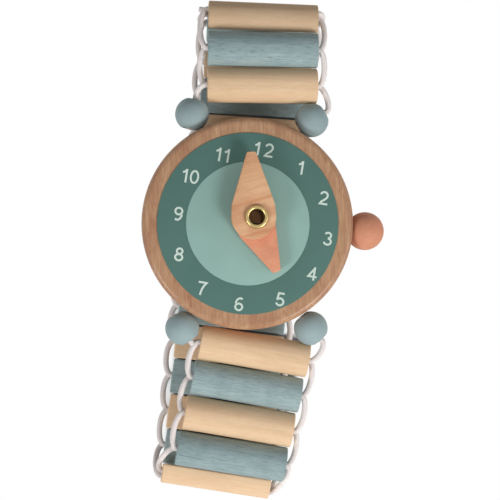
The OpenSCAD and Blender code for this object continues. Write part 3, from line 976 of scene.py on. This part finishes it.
def hand_shape(node):
    """A kite with a round tail, cut from thin wood, its edges sanded a little."""
    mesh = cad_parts[node].data
    sides = [f for f in mesh.polygons if abs(f.normal.z) < WALL_RISE]
    end_wall = max(sides, key=lambda f: (f.center / MM - PIVOT).to_2d().length)
    way = end_wall.normal.copy()
    aside = Vector((way.y, -way.x, 0))
    verts = [v.co / MM - PIVOT for v in mesh.vertices]
    reach = max(v.dot(way) for v in verts)
    ends = [v.dot(aside) for v in verts if v.dot(way) > reach - AT_END]
    off = (max(ends) + min(ends)) / 2
    tip = (max(ends) - min(ends)) / 2
    tail = -min(v.dot(way) for v in verts)
    wide = tail / TAIL_SHARE
    low, high = box(node)
    shape = bmesh.new()
    right = shape.verts.new((off + tail, 0, 0))
    left = arc(shape, right, (off, 0, 0), (0, 0, -1), math.pi, 40)
    shoulder = wide * SHOULDER_SHARE
    rest = [shape.verts.new((off + x, y, 0)) for x, y in
            ((-wide, shoulder), (-tip, reach), (tip, reach), (wide, shoulder))]
    for a, b in zip([left] + rest, rest + [right]):
        shape.edges.new((a, b))
    round_corner(shape, rest[1:3], TIP_ROUND, 4, "VERTICES")
    edge = shape.edges[:]
    ring = set(bmesh.ops.create_circle(shape, cap_ends=False, segments=BORE_SIDES,
                                       radius=HAND_BORE_R)["verts"])
    hole = [e for e in shape.edges if e.verts[0] in ring]
    bmesh.ops.triangle_fill(shape, edges=edge + hole, use_beauty=True)
    draw_out(shape, shape.faces[:], (0, 0, high.z - low.z))
    bmesh.ops.dissolve_limit(shape, angle_limit=FLAT_TURN, verts=shape.verts, edges=shape.edges)
    bmesh.ops.recalc_face_normals(shape, faces=shape.faces)
    round_edges(shape, HAND_ROUND, 3, least=60)
    return shape, axes(aside, way, UP, Vector((PIVOT.x, PIVOT.y, low.z)))


for node, finish, slot_name, tone in (("minute_hand", HAND_WOOD, "hand_wood", 0.3),
                                      ("hour_hand", CORAL, "coral_paint", 0.65)):
    shape, place = hand_shape(node)
    piece(node + "_cut", shape, place, finish, node, [node], tone_and_light_level=tone)


def washer(name, node, round_by):
    """A flat brass ring. Its bore's rims are rounded half as much as its outer ones."""
    low, high = box(node)
    outer, deep = (high.x - low.x) / 2, high.z - low.z
    shape = lathe([(PIVOT_HOLE_R, 0, round_by / 2), (outer, 0, round_by), (outer, deep, round_by),
                   (PIVOT_HOLE_R, deep, round_by / 2)], 72)
    piece(name, shape, Matrix.Translation((PIVOT.x, PIVOT.y, low.z)), BRASS, "case", [node])


washer("washer_front", "dial_washer", 0.12)
washer("washer_back", "back_washer", 0.15)

EYELET_BORE_R = 1.6
BARREL_R = 1.875
# The rolled flange on the face: its radius, its height and how far its top is flat
FLANGE_R = 2.39
FLANGE_H = 0.7
FLANGE_TOP_R = 1.75
# The flange rolls in to its narrowest at this radius and depth, and meets the bore further down
THROAT_R = 1.46
THROAT_DEPTH = 0.42
BORE_TOP_R = 1.58
BORE_TOP_DEPTH = 1.3
# The flared end at the back
FLARE_R = 2.78
FLARE_H = 0.6
# Small steps and roundings where barrel and ends meet
STEP = 0.02
LIP = 0.05
FLARE_ROUND = 0.22


def eyelet_shape(length):
    """The hollow rivet, turned from its top down."""
    return lathe([(EYELET_BORE_R, -length + LIP, LIP * 2), (FLARE_R, -length, FLARE_ROUND),
                  (FLARE_R, -length + FLARE_H, FLARE_ROUND), (BARREL_R, -length + FLARE_H + STEP, LIP),
                  (BARREL_R, -FLANGE_H - STEP, LIP), (FLANGE_R, -FLANGE_H, 0.3), (FLANGE_R, 0, 0.4),
                  (FLANGE_TOP_R, 0, 0.3), (THROAT_R, -THROAT_DEPTH, 0.3),
                  (BORE_TOP_R, -BORE_TOP_DEPTH, 0.3)])


low, high = box("eyelet")
piece("eyelet_rolled", eyelet_shape(high.z - low.z), Matrix.Translation((PIVOT.x, PIVOT.y, high.z)),
      BRASS, "case", ["eyelet"], sharp=50)


# Floor, light and camera

# How much smaller than a slat its shaded patch of floor is at its ends, and wider at its sides
PATCH_INSET = 0.9
PATCH_OVER = 0.4
# The same at the two end slats, which the band turns up from, so their patch is narrower
END_PATCH_OVER = -1.2
# Width over which a patch fades out
PATCH_FADE = 0.6


def footprints():
    """Where the slats cover the floor: (middle, along, half length, half width) of each."""
    found = []
    reaches = {node: place.translation.y for node, place in PLACES.items()}
    ends = min(reaches, key=reaches.get), max(reaches, key=reaches.get)
    for node, place in PLACES.items():
        along = level(place.col[0]).normalized()
        across = UP.cross(along)
        (a, b), (c, d) = extent(node, along), extent(node, across)
        over = END_PATCH_OVER if node in ends else PATCH_OVER
        found.append((along * (a + b) / 2 + across * (c + d) / 2, along,
                      (b - a) / 2 - PATCH_INSET, (d - c) / 2 + over))
    return found


# The fine middle of the floor in metres, its cells, and how many times wider the whole floor is
FLOOR_HALF = 0.065
FLOOR_CELLS = 180
FLOOR_TIMES = 25
# The floor lies just under the slats, so that no two faces share a plane
FLOOR_DROP = 0.0002


def floor_mesh():
    """One sheet. Its attribute "under" is 1 where a slat is right above it, which is where the floor's
    white gets painted shade.
    """
    sheet = bmesh.new()
    bmesh.ops.create_grid(sheet, x_segments=FLOOR_CELLS, y_segments=FLOOR_CELLS, size=FLOOR_HALF)
    covers = footprints()
    shade = sheet.verts.layers.float.new("under")
    for v in sheet.verts:
        for at, along, length, width in covers:
            off = v.co / MM - at
            far = max(abs(off.dot(along)) - length, abs(off.dot(UP.cross(along))) - width, 0)
            v[shade] = max(v[shade], 1 - far / PATCH_FADE)
    rim = [e for e in sheet.edges if e.is_boundary]
    wider = bmesh.ops.extrude_edge_only(sheet, edges=rim)["geom"]
    bmesh.ops.scale(sheet, vec=(FLOOR_TIMES, FLOOR_TIMES, 1),
                    verts=[g for g in wider if isinstance(g, bmesh.types.BMVert)])
    mesh = bpy.data.meshes.new("floor")
    sheet.to_mesh(mesh)
    sheet.free()
    return mesh


def floor_finish():
    """White paper seen from above. It shows painted contact shade, darker under and close beside the
    slats, but no cast shadow. It lets some light through so that the band's underside isn't black, and
    is clear from below."""
    f = Finish("floor")

    def open_sky(far):
        return f.add("ShaderNodeAmbientOcclusion", {"samples": 12}, Distance=far).outputs["AO"]

    def either_shader(share, a, b):
        return f.add("ShaderNodeMixShader", i0=share, i1=a, i2=b).outputs[0]

    rays = f.add("ShaderNodeLightPath").outputs
    clear = f.add("ShaderNodeBsdfTransparent").outputs[0]
    # Painted shade: the white that the camera sees is darkened under the slats and close beside them
    painted_shade_under_slats = f.math("MULTIPLY", f.named("under", "Fac"),
                     f.remap(open_sky(0.03), 0.6, 0.85, 0.9, 0.0))
    painted_contact_shade = f.remap(open_sky(0.014), 0.04, 0.34, 0.1, 1.0)
    white = f.add("ShaderNodeEmission", Color=(1, 1, 1, 1),
                  Strength=f.math("MULTIPLY", f.math("SUBTRACT", 1.0, painted_shade_under_slats), painted_contact_shade))
    f.surface(rgb(236, 236, 234), 0.9)
    sheet = either_shader(0.3, f.shader.outputs[0], clear)
    direct = f.math("MAXIMUM", rays["Is Camera Ray"],
                    f.math("MAXIMUM", rays["Is Glossy Ray"], rays["Is Transmission Ray"]))
    above = either_shader(direct, sheet, white.outputs[0])
    from_below = f.add("ShaderNodeNewGeometry").outputs["Backfacing"]
    f.tree.links.new(either_shader(from_below, above, clear), f.out.inputs["Surface"])
    return f.material


floor = bpy.data.objects.new("floor", floor_mesh())
floor.location = (0, 0, -FLOOR_DROP)
floor.data.materials.append(floor_finish())
bpy.context.scene.collection.objects.link(floor)

SOFT_COLOUR = (1.0, 0.985, 0.965, 1)
SOFT_STRENGTH = 0.27


def studio():
    """A soft room that camera, glossy and transmission rays see as plain white."""
    world = bpy.data.worlds.new("studio")
    world.use_nodes = True
    tree = world.node_tree
    tree.nodes.clear()
    rays = tree.nodes.new("ShaderNodeLightPath").outputs
    white = rays["Is Camera Ray"]
    for other in ("Is Glossy Ray", "Is Transmission Ray"):
        either = tree.nodes.new("ShaderNodeMath")
        either.operation = "MAXIMUM"
        tree.links.new(white, either.inputs[0])
        tree.links.new(rays[other], either.inputs[1])
        white = either.outputs[0]
    blend = tree.nodes.new("ShaderNodeMixShader")
    tree.links.new(white, blend.inputs[0])
    for socket, colour, strength in ((1, SOFT_COLOUR, SOFT_STRENGTH), (2, (1, 1, 1, 1), 1.0)):
        background = tree.nodes.new("ShaderNodeBackground")
        background.inputs["Color"].default_value = colour
        background.inputs["Strength"].default_value = strength
        tree.links.new(background.outputs[0], blend.inputs[socket])
    end = tree.nodes.new("ShaderNodeOutputWorld")
    tree.links.new(blend.outputs[0], end.inputs["Surface"])
    return world


bpy.context.scene.world = studio()

# What camera and lights point at. From here on all lengths are in metres
AIM = Vector((0.00222, 0.0056, 0.01851))
LAMP_COLOUR = (1.0, 0.985, 0.96)


def soft_light(name, place, size, power):
    """A round soft light that points at the watch."""
    data = bpy.data.lights.new(name, "AREA")
    data.shape = "DISK"
    data.size = size
    data.energy = power
    data.color = LAMP_COLOUR
    lamp = bpy.data.objects.new(name, data)
    lamp.location = Vector(place)
    lamp.rotation_mode = "QUATERNION"
    lamp.rotation_quaternion = (AIM - lamp.location).to_track_quat("-Z", "Y")
    bpy.context.scene.collection.objects.link(lamp)


soft_light("key_right", (0.37, -0.4, 0.5), size=0.3, power=2.7)
soft_light("side_right", (0.6, -0.12, 0.3), size=0.24, power=0.7)
soft_light("key_left", (-0.46, -0.34, 0.4), size=0.24, power=1.85)

# The photograph is taken from nearly straight above, a little to the left
CAMERA_BACK = Vector((-0.052, 0.0, 0.998)).normalized()
CAMERA_FAR = 0.35
lens = bpy.data.cameras.new("camera")
lens.sensor_width = 36
lens.lens = 121.9
camera = bpy.data.objects.new("camera", lens)
bpy.context.scene.collection.objects.link(camera)
right = Vector((0, 1, 0)).cross(CAMERA_BACK).normalized()
camera.matrix_world = axes(right, CAMERA_BACK.cross(right), CAMERA_BACK, AIM + CAMERA_BACK * CAMERA_FAR)
bpy.context.scene.camera = camera
bpy.context.scene.view_settings.view_transform = "Standard"
